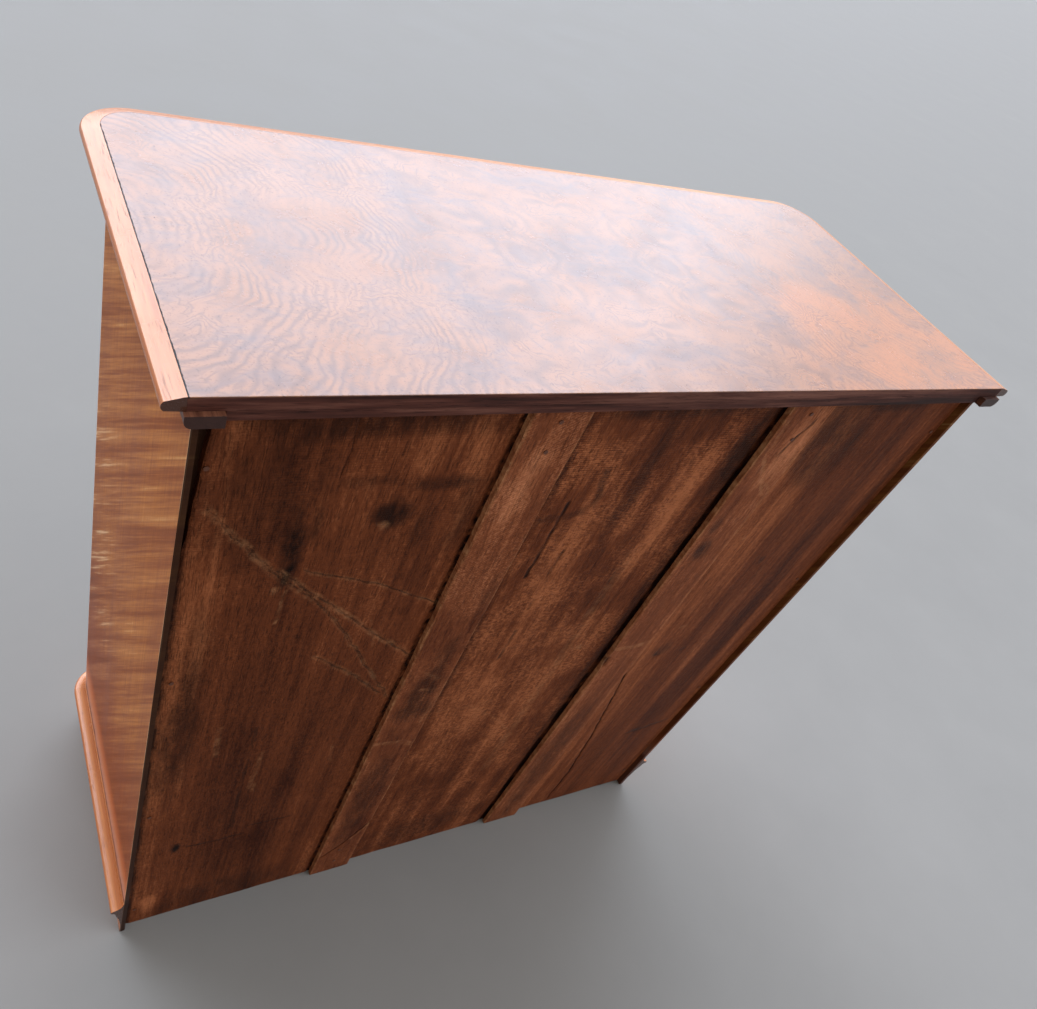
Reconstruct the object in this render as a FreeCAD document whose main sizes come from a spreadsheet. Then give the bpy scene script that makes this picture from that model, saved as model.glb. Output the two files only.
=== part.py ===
import FreeCAD, Part
import math
import os
import Sketcher

# Open album bookcase in walnut, in millimetres.
# +Z is up, the back of the case faces +Y, and the origin is under the middle of the case.
# "left" is the +X end and "right" the -X end.

doc = FreeCAD.newDocument("album_bookcase")
Vector = FreeCAD.Vector
Rotation = FreeCAD.Rotation

# ---------------------------------------------------------------- driving dimensions
sizes = {
    # overall
    "height": 950.0,
    "half_top": 462.0,
    "top_front": 202.0,
    "top_rear": 197.0,
    "zero": 0.0,
    # case
    "half_body": 438.5,
    "half_inside": 419.5,
    "corner_x": 410.5,
    "corner_y": 150.5,
    "corner_radius": 28.0,
    "body_front": 178.5,
    "body_rear": 186.2,
    "case_top": 927.8,
    "opening_half": 408.0,
    # rear rebate of the ends
    "rebate_x": 433.2,
    "rebate_y": 170.0,
    # top
    "board_top": 949.0,
    "board_under": 938.2,
    "veneer_thickness": 1.0,
    "field_half": 446.0,
    "field_radius": 35.5,
    "field_front": 186.0,
    # edging section: distance out from the corner axis, and height
    "edging_in": 35.5,
    "edging_crown": 37.0,
    "edging_slope": 49.6,
    "edging_slope_z": 946.7,
    "edging_nose": 51.5,
    "edging_nose_z": 943.0,
    "edging_low": 49.4,
    "edging_under_z": 938.9,
    "edging_nose_radius": 4.6,
    # cornice section
    "cornice_in": 11.0,
    "cornice_out": 37.7,
    "cornice_round": 31.7,
    "cornice_round_z": 933.8,
    "cornice_radius": 6.0,
    "cornice_rear": 202.0,
    "rail_half": 420.4,
    "rail_front": 120.0,
    "rail_under": 928.4,
    "rail_rear": 195.6,
    # base moulding section
    "base_in": 28.0,
    "base_top": 95.0,
    "base_fillet": 29.2,
    "base_cove": 38.4,
    "base_cove_z": 80.6,
    "base_cove_radius": 13.0,
    "base_lip": 40.8,
    "base_lip_z": 80.0,
    "base_nose": 40.4,
    "base_nose_z": 72.4,
    "base_nose_radius": 4.0,
    "base_neck": 37.0,
    "base_neck_z": 64.0,
    "base_neck_radius": 9.0,
    "base_foot": 29.4,
    "base_foot_z": 8.0,
    "base_foot_radius": 150.0,
    # floor of the case
    "floor_under": 95.0,
    "floor_top": 113.0,
    "frieze_under": 880.0,
    # back
    "panel_rear": 179.2,
    "panel_edge": 432.4,
    "muntin_left_out": 168.8,
    "muntin_left_in": 106.8,
    "muntin_right_in": 139.8,
    "muntin_right_out": 202.4,
    "muntin_left_middle": 137.8,
    "muntin_right_middle": 171.1,
    "tongue": 6.0,
    "back_rail_front": 150.0,
    "back_rail_top_z": 860.0,
    # racks and cleats
    "rack_inside": 406.5,
    "rack_front_y": 128.5,
    "rack_rear_y": 148.0,
    "rack_low": 113.0,
    "rack_high": 858.0,
    "tooth_pitch": 32.0,
    "tooth_depth": 10.0,
    "tooth_rise": 26.0,
    "first_tooth": 161.0,
    "lower_seat": 353.0,
    "upper_seat": 609.0,
    "cleat_inside": 397.5,
    "cleat_height": 21.0,
    "cleat_tip": 2.4,
    "cleat_tip_front": 137.2,
    "cleat_shoulder_front": 130.2,
    "cleat_tip_rear": 156.7,
    "cleat_shoulder_rear": 149.7,
    # shelves
    "lower_under": 374.3,
    "upper_under": 630.3,
    "shelf_half": 405.0,
    "shelf_front": 143.0,
    "shelf_edge": 131.0,
    "shelf_rear": 167.0,
    "shelf_thickness": 16.0,
    # blocks glued into the corners
    "block": 30.0,
    "block_x": 140.0,
    "block_low": 908.2,
    "plinth_block_low": 65.0,
    # nails
    "nail_radius": 1.0,
    "nail_head_radius": 2.2,
    "nail_head": 0.8,
    "nail_length": 24.0,
    "nail_x": 421.9,
}

sheet = doc.addObject("Spreadsheet::Sheet", "Dims")
for row, name in enumerate(sizes):
    sheet.set("A%d" % (row + 1), name)
    sheet.set("B%d" % (row + 1), str(sizes[name]))
    sheet.setAlias("B%d" % (row + 1), name)
doc.recompute()


def value(words):
    """Number for a sum of dimension names, such as "half_body - tongue"."""
    total = 0.0
    sign = 1.0
    for word in words.split():
        if word == "+":
            sign = 1.0
        elif word == "-":
            sign = -1.0
        else:
            total += sign * sizes[word]
            sign = 1.0
    return total


def formula(words):
    """The same sum as a spreadsheet expression."""
    return " ".join(word if word in "+-" else "Dims." + word for word in words.split())


def bind(item, prop, words):
    item.setExpression(prop, formula(words))


def place(item, x="zero", y="zero", z="zero", rotation=None):
    item.Placement = FreeCAD.Placement(
        Vector(value(x), value(y), value(z)), rotation or Rotation())
    bind(item, "Placement.Base.x", x)
    bind(item, "Placement.Base.y", y)
    bind(item, "Placement.Base.z", z)


made = []


def sub_part(item, label):
    """Marks a finished sub-part and gives it the name of its file."""
    item.Label = label
    made.append(item)
    return item


# ---------------------------------------------------------------- shape helpers
def box(name, x_low, x_high, y_low, y_high, z_low, z_high):
    item = doc.addObject("Part::Box", name)
    negate = {"+": "-", "-": "+"}
    for prop, low, high in (("Length", x_low, x_high), ("Width", y_low, y_high),
                            ("Height", z_low, z_high)):
        words = low.split()
        if words[0] not in "+-":
            words = ["+"] + words
        flipped = [negate.get(word, word) for word in words]
        bind(item, prop, high + " " + " ".join(flipped))
    place(item, x_low, y_low, z_low)
    return item


def arc_between(start, end, radius):
    """Arc from start to end; a positive radius bulges to the right of the way it goes."""
    chord = end - start
    half = chord.Length / 2.0
    reach = math.sqrt(max(radius * radius - half * half, 0.0))
    side = Vector(-chord.y, chord.x, 0).normalize()
    middle = (start + end) * 0.5
    centre = middle + side * (reach if radius > 0 else -reach)
    circle = Part.Circle(centre, Vector(0, 0, 1), abs(radius))
    first, last = (start, end) if radius > 0 else (end, start)
    a = math.atan2(first.y - centre.y, first.x - centre.x)
    b = math.atan2(last.y - centre.y, last.x - centre.x)
    if b < a:
        b += 2 * math.pi
    return Part.ArcOfCircle(circle, a, b)


def outline(name, points):
    """Closed sketch. Each point is (x, y) or (x, y, radius name, side) for an arc that starts there."""
    sketch = doc.addObject("Sketcher::SketchObject", name)
    places = [Vector(value(p[0]), value(p[1]), 0) for p in points]
    ends = []
    for i, point in enumerate(points):
        start = places[i]
        end = places[(i + 1) % len(points)]
        if len(point) == 4:
            radius = point[3] * value(point[2])
            index = sketch.addGeometry(arc_between(start, end, radius), False)
            ends.append((index, 1, 2) if radius > 0 else (index, 2, 1))
        else:
            index = sketch.addGeometry(Part.LineSegment(start, end), False)
            ends.append((index, 1, 2))
    for i, point in enumerate(points):
        index, first, last = ends[i]
        following = ends[(i + 1) % len(points)]
        sketch.addConstraint(Sketcher.Constraint("Coincident", index, last, following[0], following[1]))
        across = sketch.addConstraint(Sketcher.Constraint("DistanceX", index, first, places[i].x))
        sketch.setExpression("Constraints[%d]" % across, formula(point[0]))
        along = sketch.addConstraint(Sketcher.Constraint("DistanceY", index, first, places[i].y))
        sketch.setExpression("Constraints[%d]" % along, formula(point[1]))
        if len(point) == 4:
            bend = sketch.addConstraint(Sketcher.Constraint("Radius", index, value(point[2])))
            sketch.setExpression("Constraints[%d]" % bend, formula(point[2]))
    return sketch


def extrude(name, sketch, direction, length):
    item = doc.addObject("Part::Extrusion", name)
    item.Base = sketch
    item.DirMode = "Custom"
    item.Dir = Vector(*direction)
    item.Solid = True
    item.LengthFwd = value(length)
    bind(item, "LengthFwd", length)
    return item


def upright(name, points, z_low, z_high):
    """Plan outline raised from z_low to z_high."""
    sketch = outline(name + "_plan", points)
    place(sketch, z=z_low)
    words = z_low.split()
    return extrude(name, sketch, (0, 0, 1), z_high + " - " + words[0])


def fuse(name, items):
    item = doc.addObject("Part::MultiFuse", name)
    item.Shapes = items
    item.Refine = True
    return item


def cut(name, base, tool):
    item = doc.addObject("Part::Cut", name)
    item.Base = base
    item.Tool = tool
    return item


def mirror(name, source):
    item = doc.addObject("Part::Mirroring", name)
    item.Source = source
    item.Normal = Vector(1, 0, 0)
    return item


def turned_corner(name, sketch, toward):
    """Half of a rounded corner, from a section turned 45 degrees about the corner axis."""
    item = doc.addObject("Part::Revolution", name)
    item.Source = sketch
    item.Axis = Vector(0, 0, toward)
    item.Base = Vector(value("corner_x"), value("- corner_y"), 0)
    bind(item, "Base.x", "corner_x")
    bind(item, "Base.y", "- corner_y")
    item.Angle = 45.0
    item.Solid = True
    return item


END_SECTION = Rotation(Vector(1, 0, 0), 90)
FRONT_SECTION = Rotation(Vector(0, 0, 1), -90).multiply(END_SECTION)


def moulding(name, points, rear):
    """Moulding round both ends and the front of the case, mitred in the middle of each corner."""
    section = outline(name + "_end_section", points)
    place(section, "corner_x", "- corner_y", "zero", END_SECTION)
    straight = extrude(name + "_end_run", section, (0, 1, 0), rear + " + corner_y")
    corner = turned_corner(name + "_end_corner", section, -1)
    left = sub_part(fuse(name + "_end", [straight, corner]), name + "_left")
    sub_part(mirror(name + "_far_end", left), name + "_right")
    section = outline(name + "_front_section", points)
    place(section, "corner_x", "- corner_y", "zero", FRONT_SECTION)
    straight = extrude(name + "_front_run", section, (-1, 0, 0), "corner_x")
    corner = turned_corner(name + "_front_corner", section, 1)
    half = fuse(name + "_front_half", [straight, corner])
    other = mirror(name + "_front_other", half)
    sub_part(fuse(name + "_front_whole", [half, other]), name + "_front")


# ---------------------------------------------------------------- top
def field(name, low, high):
    points = [
        ("field_half", "top_rear"),
        ("- field_half", "top_rear"),
        ("- field_half", "- corner_y", "field_radius", 1),
        ("- corner_x", "- field_front"),
        ("corner_x", "- field_front", "field_radius", 1),
        ("field_half", "- corner_y"),
    ]
    return upright(name, points, low, high)


sub_part(field("ground", "board_under", "board_top"), "top_board")
sub_part(field("burr", "board_top", "height"), "top_veneer")

edging_section = [
    ("edging_in", "board_under"),
    ("edging_low", "edging_under_z", "edging_nose_radius", 1),
    ("edging_nose", "edging_nose_z", "edging_nose_radius", 1),
    ("edging_slope", "edging_slope_z"),
    ("edging_crown", "height"),
    ("edging_in", "height"),
]
moulding("top_edging", edging_section, "top_rear")

cornice_section = [
    ("cornice_in", "case_top"),
    ("cornice_round", "case_top", "cornice_radius", 1),
    ("cornice_out", "cornice_round_z"),
    ("cornice_out", "board_under"),
    ("cornice_in", "board_under"),
]
moulding("cornice", cornice_section, "cornice_rear")

sub_part(box("rear_rail", "- rail_half", "rail_half", "rail_front", "rail_rear",
             "rail_under", "board_under"), "cornice_rear_rail")

# ---------------------------------------------------------------- nails of the back
def nail(name, x, y, height):
    """Cut nail driven in from the back, its head on the face at y."""
    shank = doc.addObject("Part::Cylinder", name + "_shank")
    bind(shank, "Radius", "nail_radius")
    bind(shank, "Height", "nail_length")
    head = doc.addObject("Part::Cylinder", name + "_head")
    bind(head, "Radius", "nail_head_radius")
    bind(head, "Height", "nail_head")
    place(shank, x, y, "zero", Rotation(Vector(1, 0, 0), 90))
    place(head, x, y + " + nail_head", "zero", Rotation(Vector(1, 0, 0), 90))
    for item in (shank, head):
        item.setExpression("Placement.Base.z", "%.1f" % height)
    return fuse(name, [shank, head])


nails = []
for end in ("", "- "):
    for number, height in enumerate((48.0, 322.0, 596.0, 870.0)):
        name = "edge_nail_%s_%d" % ("b" if end else "a", number)
        nails.append(nail(name, end + "nail_x", "panel_rear", height))
for where in ("muntin_left_middle", "- muntin_right_middle"):
    for number, height in enumerate((36.0, 74.0, 876.0, 910.0)):
        name = "muntin_nail_%s_%d" % ("b" if "-" in where else "a", number)
        nails.append(nail(name, where, "body_rear", height))
nail_group = doc.addObject("Part::Compound", "nails")
nail_group.Links = nails
sub_part(nail_group, "back_nails")

# ---------------------------------------------------------------- ends and front
end_plan = [
    ("half_inside", "- corner_y"),
    ("half_body", "- corner_y"),
    ("half_body", "body_rear"),
    ("rebate_x", "body_rear"),
    ("rebate_x", "rebate_y"),
    ("half_inside", "rebate_y"),
]
end_board = upright("end_board", end_plan, "zero", "case_top")
end = sub_part(cut("end_nailed", end_board, nail_group), "side_left")
far_board = mirror("far_end_board", end_board)
sub_part(cut("far_end_nailed", far_board, nail_group), "side_right")

post_plan = [
    ("opening_half", "- body_front"),
    ("corner_x", "- body_front", "corner_radius", 1),
    ("half_body", "- corner_y"),
    ("opening_half", "- corner_y"),
]
post = sub_part(upright("post", post_plan, "zero", "case_top"), "corner_post_left")
sub_part(mirror("far_post", post), "corner_post_right")

sub_part(box("frieze", "- opening_half", "opening_half", "- body_front", "- corner_y",
             "frieze_under", "case_top"), "frieze_rail")
sub_part(box("plinth", "- opening_half", "opening_half", "- body_front", "- corner_y",
             "zero", "floor_top"), "plinth_rail")
sub_part(box("case_floor", "- half_inside", "half_inside", "- corner_y", "rebate_y",
             "floor_under", "floor_top"), "bottom_board")

base_section = [
    ("base_in", "zero"),
    ("base_foot", "zero"),
    ("base_foot", "base_foot_z", "base_foot_radius", -1),
    ("base_neck", "base_neck_z", "base_neck_radius", -1),
    ("base_nose", "base_nose_z", "base_nose_radius", 1),
    ("base_lip", "base_lip_z"),
    ("base_cove", "base_cove_z", "base_cove_radius", -1),
    ("base_fillet", "base_top"),
    ("base_in", "base_top"),
]
moulding("base_moulding", base_section, "body_rear")

# ---------------------------------------------------------------- back
def muntin(name, low, high, label):
    """Upright with a tongue on each edge that laps the panels."""
    plan = [
        (low, "body_rear"),
        (low, "panel_rear"),
        (low + " + tongue", "panel_rear"),
        (low + " + tongue", "rebate_y"),
        (high + " - tongue", "rebate_y"),
        (high + " - tongue", "panel_rear"),
        (high, "panel_rear"),
        (high, "body_rear"),
    ]
    raw = upright(name, plan, "zero", "case_top")
    sub_part(cut(name + "_nailed", raw, nail_group), label)


muntin("upright_left", "muntin_left_in", "muntin_left_out", "back_muntin_left")
muntin("upright_right", "- muntin_right_out", "- muntin_right_in", "back_muntin_right")

panel_left = box("board_left", "muntin_left_out - tongue", "panel_edge",
                 "rebate_y", "panel_rear", "zero", "case_top")
sub_part(cut("board_left_nailed", panel_left, nail_group), "back_panel_left")
sub_part(box("board_centre", "- muntin_right_in - tongue", "muntin_left_in + tongue",
             "rebate_y", "panel_rear", "zero", "case_top"), "back_panel_centre")
panel_right = box("board_right", "- panel_edge", "- muntin_right_out + tongue",
                  "rebate_y", "panel_rear", "zero", "case_top")
sub_part(cut("board_right_nailed", panel_right, nail_group), "back_panel_right")

upper_rail = box("upper_rail", "- half_inside", "half_inside", "back_rail_front", "rebate_y",
                 "back_rail_top_z", "case_top")
lower_rail = box("lower_rail", "- half_inside", "half_inside", "back_rail_front", "rebate_y",
                 "zero", "floor_under")
sub_part(cut("upper_rail_nailed", upper_rail, nail_group), "back_rail_top")
sub_part(cut("lower_rail_nailed", lower_rail, nail_group), "back_rail_bottom")


# ---------------------------------------------------------------- racks, cleats and shelves
def rack(name, edge, back, label_left, label_right):
    """Toothed rack in a corner of the case; edge is its notched side, back its plain side."""
    deep = sizes["tooth_depth"] if edge > back else -sizes["tooth_depth"]
    x = sizes["rack_inside"]
    path = [Vector(x, back, sizes["rack_low"]), Vector(x, edge, sizes["rack_low"])]
    step = sizes["first_tooth"]
    while step + sizes["tooth_rise"] < sizes["rack_high"]:
        path.append(Vector(x, edge, step))
        path.append(Vector(x, edge - deep, step))
        path.append(Vector(x, edge, step + sizes["tooth_rise"]))
        step += sizes["tooth_pitch"]
    path.append(Vector(x, edge, sizes["rack_high"]))
    path.append(Vector(x, back, sizes["rack_high"]))
    path.append(path[0])
    face = Part.Face(Part.makePolygon(path))
    item = doc.addObject("Part::Feature", name)
    item.Shape = face.extrude(Vector(sizes["half_inside"] - x, 0, 0))
    item.Placement = FreeCAD.Placement()
    sub_part(item, label_left)
    sub_part(mirror(name + "_far", item), label_right)


rack("rack_front", value("- rack_front_y"), value("- corner_y"),
     "shelf_rack_front_left", "shelf_rack_front_right")
rack("rack_rear", value("rack_rear_y"), value("rebate_y"),
     "shelf_rack_rear_left", "shelf_rack_rear_right")

cleat_profile = [
    ("- cleat_tip_front", "zero"),
    ("cleat_tip_rear", "zero"),
    ("cleat_tip_rear", "cleat_tip"),
    ("cleat_shoulder_rear", "cleat_height"),
    ("- cleat_shoulder_front", "cleat_height"),
    ("- cleat_tip_front", "cleat_tip"),
]
SIDE_SECTION = Rotation(Vector(0, 0, 1), 90).multiply(END_SECTION)


def shelf(name):
    """Two cleats in the racks, and a loose shelf just clear of them with a lipped front edge."""
    seat = name + "_seat"
    under = name + "_under"
    profile = outline(name + "_cleat_profile", cleat_profile)
    place(profile, "cleat_inside", "zero", seat, SIDE_SECTION)
    bar = extrude(name + "_cleat", profile, (1, 0, 0), "half_inside - cleat_inside")
    sub_part(bar, "cleat_%s_left" % name)
    sub_part(mirror(name + "_cleat_far", bar), "cleat_%s_right" % name)
    top = under + " + shelf_thickness"
    sub_part(box(name + "_board", "- shelf_half", "shelf_half", "- shelf_edge", "shelf_rear",
                 under, top), "shelf_%s_board" % name)
    sub_part(box(name + "_edge", "- shelf_half", "shelf_half", "- shelf_front", "- shelf_edge",
                 under, top), "shelf_%s_edge" % name)


shelf("lower")
shelf("upper")

# ---------------------------------------------------------------- glue blocks
blocks = [
    box("block_a", "half_inside - block", "half_inside", "- corner_y + block + block",
        "- corner_y + block + block + block + block", "block_low", "board_under"),
    box("block_b", "half_inside - block", "half_inside", "block", "block + block + block",
        "block_low", "board_under"),
    box("block_c", "block_x", "block_x + block + block", "- corner_y", "- corner_y + block",
        "block_low", "board_under"),
    box("block_d", "block_x", "block_x + block + block", "- corner_y", "- corner_y + block",
        "plinth_block_low", "floor_under"),
    box("block_e", "half_inside - block", "half_inside", "block", "block + block + block",
        "plinth_block_low", "floor_under"),
    box("block_f", "half_inside - block", "half_inside", "- corner_y", "- corner_y + block + block",
        "plinth_block_low", "floor_under"),
]
blocks += [mirror(item.Name + "_far", item) for item in blocks]
group = doc.addObject("Part::Compound", "blocks")
group.Links = blocks
sub_part(group, "glue_blocks")

# ---------------------------------------------------------------- check and write
doc.recompute()
faults = []
for item in doc.Objects:
    if "Invalid" in item.State or "Error" in item.State:
        faults.append("%s is in state %s" % (item.Name, item.State))
for item in made:
    if item.Shape.isNull() or not item.Shape.isValid() or not item.Shape.Solids:
        faults.append("%s has no valid solid" % item.Label)
if faults:
    raise RuntimeError("; ".join(faults))

os.makedirs("parts", exist_ok=True)
for item in made:
    item.Shape.exportStep("parts/%s.step" % item.Label)
    bounds = item.Shape.BoundBox
    print("%-26s solids %2d  x %7.1f %7.1f  y %7.1f %7.1f  z %6.1f %6.1f" % (
        item.Label, len(item.Shape.Solids), bounds.XMin, bounds.XMax,
        bounds.YMin, bounds.YMax, bounds.ZMin, bounds.ZMax))
print(len(made), "sub-parts written")
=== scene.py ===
"""Looks for the walnut bookcase: detailed back boards, procedural woods, floor, light and camera."""

import math

import bmesh
import bpy
import numpy as np
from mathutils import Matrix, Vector, geometry


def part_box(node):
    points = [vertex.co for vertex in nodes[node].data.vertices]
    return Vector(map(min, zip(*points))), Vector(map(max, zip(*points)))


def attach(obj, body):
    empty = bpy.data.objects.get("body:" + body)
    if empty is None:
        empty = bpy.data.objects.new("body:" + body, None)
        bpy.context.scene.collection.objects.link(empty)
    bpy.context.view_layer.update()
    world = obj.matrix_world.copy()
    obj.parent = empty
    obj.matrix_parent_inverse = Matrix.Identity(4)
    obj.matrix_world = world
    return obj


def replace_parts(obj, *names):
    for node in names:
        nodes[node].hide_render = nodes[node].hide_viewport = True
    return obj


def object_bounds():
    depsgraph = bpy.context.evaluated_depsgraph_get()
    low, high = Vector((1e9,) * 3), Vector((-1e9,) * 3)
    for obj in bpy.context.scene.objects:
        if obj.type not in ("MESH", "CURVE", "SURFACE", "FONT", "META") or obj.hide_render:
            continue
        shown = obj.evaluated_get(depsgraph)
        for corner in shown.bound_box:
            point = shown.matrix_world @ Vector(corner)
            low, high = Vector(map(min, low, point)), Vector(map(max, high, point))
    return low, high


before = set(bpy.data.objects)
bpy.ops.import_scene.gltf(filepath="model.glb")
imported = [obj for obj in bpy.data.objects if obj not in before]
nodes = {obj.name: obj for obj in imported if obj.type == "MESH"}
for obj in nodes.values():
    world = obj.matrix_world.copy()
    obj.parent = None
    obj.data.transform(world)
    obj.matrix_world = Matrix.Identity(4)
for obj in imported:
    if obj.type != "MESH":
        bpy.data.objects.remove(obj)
cad_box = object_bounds()
scene = bpy.context.scene
MM = 0.001


# ---------------------------------------------------------------- node helpers
class Shader:
    """One material and short calls that add nodes to it."""

    def __init__(self, name):
        self.material = bpy.data.materials.new(name)
        self.material.use_nodes = True
        self.tree = self.material.node_tree
        self.tree.nodes.clear()
        self.place = self.add("ShaderNodeTexCoord", "Object")

    def add(self, kind, out, inputs=(), **props):
        made = self.tree.nodes.new(kind)
        for key, value in props.items():
            setattr(made, key, value)
        for key, value in dict(inputs).items():
            self.feed(made.inputs[key], value)
        return made.outputs[out]

    def feed(self, socket, value):
        if isinstance(value, bpy.types.NodeSocket):
            self.tree.links.new(value, socket)
        elif socket.type == "RGBA" and len(value) == 3:
            socket.default_value = (*value, 1)
        else:
            socket.default_value = value

    def math(self, operation, *values, clamp=False):
        return self.add("ShaderNodeMath", 0, enumerate(values), operation=operation, use_clamp=clamp)

    def vector(self, operation, *values, out="Vector"):
        return self.add("ShaderNodeVectorMath", out, enumerate(values), operation=operation)

    def stretch(self, vector, *by):
        return self.vector("MULTIPLY", vector, by)

    def split(self, vector):
        made = self.add("ShaderNodeSeparateXYZ", "X", {0: vector}).node
        return made.outputs

    def join(self, x=0.0, y=0.0, z=0.0):
        return self.add("ShaderNodeCombineXYZ", 0, {0: x, 1: y, 2: z})

    def noise(self, vector, scale, detail=3.0, rough=0.5, distort=0.0, out="Fac"):
        return self.add("ShaderNodeTexNoise", out, {"Vector": vector, "Scale": scale, "Detail": detail,
                                                    "Roughness": rough, "Distortion": distort})

    def warped(self, vector, scale, by, detail=2.0):
        """vector, moved about by up to half of by."""
        shift = self.vector("SUBTRACT", self.noise(vector, scale, detail, out="Color"), (0.5, 0.5, 0.5))
        return self.vector("MULTIPLY_ADD", shift, (by, by, by), vector)

    def cells(self, vector, scale):
        inputs = {"Vector": vector, "Scale": scale, "Smoothness": 0.6}
        return self.add("ShaderNodeTexVoronoi", "Distance", inputs, feature="SMOOTH_F1")

    def product(self, *values):
        first, *others = values
        for other in others:
            first = self.math("MULTIPLY", first, other)
        return first

    def plus(self, part, share, rest):
        """share of part, added to rest."""
        return self.math("MULTIPLY_ADD", part, share, rest)

    def sway(self, part, share, rest):
        """share of part taken about its middle of 0.5, added to rest."""
        return self.math("MULTIPLY_ADD", self.math("SUBTRACT", part, 0.5), share, rest)

    def away(self, x, y):
        """Length of the vector from the origin to x, y."""
        return self.vector("LENGTH", self.join(x, y), out="Value")

    def facing(self, axis):
        """How far the surface faces along world axis 0, 1 or 2, from -1 to 1."""
        return self.split(self.add("ShaderNodeNewGeometry", "Normal"))[axis]

    def span(self, value, low, high, to_low=0.0, to_high=1.0):
        """value from low..high to to_low..to_high, eased at both ends."""
        return self.add("ShaderNodeMapRange", 0, {"Value": value, "From Min": low, "From Max": high,
                                                  "To Min": to_low, "To Max": to_high},
                        interpolation_type="SMOOTHSTEP")

    def mix(self, factor, a, b):
        made = self.tree.nodes.new("ShaderNodeMix")
        made.data_type = "RGBA"
        for key, value in ((0, factor), (6, a), (7, b)):
            self.feed(made.inputs[key], value)
        return made.outputs[2]

    def ramp(self, value, *stops):
        made = self.tree.nodes.new("ShaderNodeValToRGB")
        line = made.color_ramp.elements
        while len(line) < len(stops):
            line.new(0.5)
        for point, (at, colour) in zip(line, stops):
            point.position, point.color = at, (*colour, 1)
        self.feed(made.inputs[0], value)
        return made.outputs[0]

    def ripple(self, value, pitch):
        """A wave from 0 to 1 along value."""
        turn = self.math("MULTIPLY", value, 2 * math.pi / pitch)
        return self.math("MULTIPLY_ADD", self.math("SINE", turn), 0.5, 0.5)

    def bump(self, height, distance):
        return self.add("ShaderNodeBump", 0, {"Height": height, "Distance": distance, "Strength": 1.0})

    def done(self, colour, roughness, normal, **fixed):
        inputs = {"Base Color": colour, "Roughness": roughness, "Normal": normal, **fixed}
        surface = self.add("ShaderNodeBsdfPrincipled", 0, inputs)
        self.add("ShaderNodeOutputMaterial", slice(0), {"Surface": surface})
        return self.material


def srgb(r, g, b):
    """Linear colour from 0..255 values."""
    return tuple((c / 255 / 12.92) if c < 10.3 else ((c / 255 + 0.055) / 1.055) ** 2.4 for c in (r, g, b))


AXES = {"X": (0.05, 1, 1), "Y": (1, 0.05, 1), "Z": (1, 1, 0.05)}


def plain_wood(name, along, dark, mid, light, rough=0.5, figure=1.0, relief=0.15, wear=0.25, level=0.5,
               grime_and_shade=False, steep_face_shade=None):
    """Straight-grained wood. along is the axis of its grain. The steep faces can take a colour of their own,
    painted shade darker and more orange than the flat faces, and the rear-facing faces can be painted
    darker, grime and painted shade together.
    """
    s = Shader(name)
    grain = s.stretch(s.place, *AXES[along])
    wavy = s.warped(grain, 9, 0.012)
    broad = s.noise(wavy, 26, 3, 0.55)
    lines = s.noise(wavy, 210, 4, 0.6)
    pores = s.noise(wavy, 1100, 2, 0.5)
    tone = s.sway(lines, 0.8 * figure, broad)
    colour = s.ramp(tone, (0.3, dark), (0.5, mid), (0.72, light))
    patchy = s.noise(s.place, 14, 4, 0.6)
    colour = s.mix(s.span(patchy, 0.45, 0.75, 0, wear), colour, dark)
    pits = s.span(pores, 0.60, 0.68)
    colour = s.mix(s.math("MULTIPLY", pits, 0.45), colour, tuple(c * 0.35 for c in dark))
    if steep_face_shade:
        # painted shade: the steep faces are painted darker and more orange than the flat ones
        steep = s.span(s.math("ABSOLUTE", s.facing(2)), 0.93, 0.6)
        colour = s.mix(s.math("MULTIPLY", steep, 0.6), colour, steep_face_shade)
    if grime_and_shade:
        # grime and painted shade: the rear-facing faces are painted darker
        rear = s.span(s.facing(1), 0.6, 0.9)
        colour = s.mix(s.math("MULTIPLY", rear, 0.92), colour, srgb(50, 28, 24))
    height = s.plus(pits, -0.6, lines)
    roughness = s.plus(patchy, 0.22, s.plus(pits, 0.15, rough - 0.11))
    return s.done(colour, roughness, s.bump(height, relief * MM), **{"Specular IOR Level": level})


# ---------------------------------------------------------------- materials
# Places in metres. A pair that ends in SPAN is the stretch over which a mask changes.
MATCH = (0.006, -0.004)             # x, y where the four burr leaves meet
JOINT = 0.446                       # x of the open joint between the veneer and its left edging
RIBBON = 8.2 * MM                   # pitch of the growth lines round each end
FAN = (0.676, 1.355)                # y, z of the point that the ripple figure and painted reflection streaks of a side fan out from
OUTSIDE_SPAN = (0.424, 0.428)       # distance from the middle plane at which a side shows its figure
MIRROR_SPAN = (0.094, 0.190)        # z of the paler strip over the base moulding
ARRIS_X_SPAN, ARRIS_Y_SPAN = (0.4370, 0.4376), (0.1850, 0.1857)
LIP_X_SPAN, LIP_Y_SPAN = (0.4376, 0.4382), (0.168, 0.171)

FRONT_RAIL = (srgb(122, 62, 28), srgb(164, 92, 46), srgb(196, 124, 68))


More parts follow.
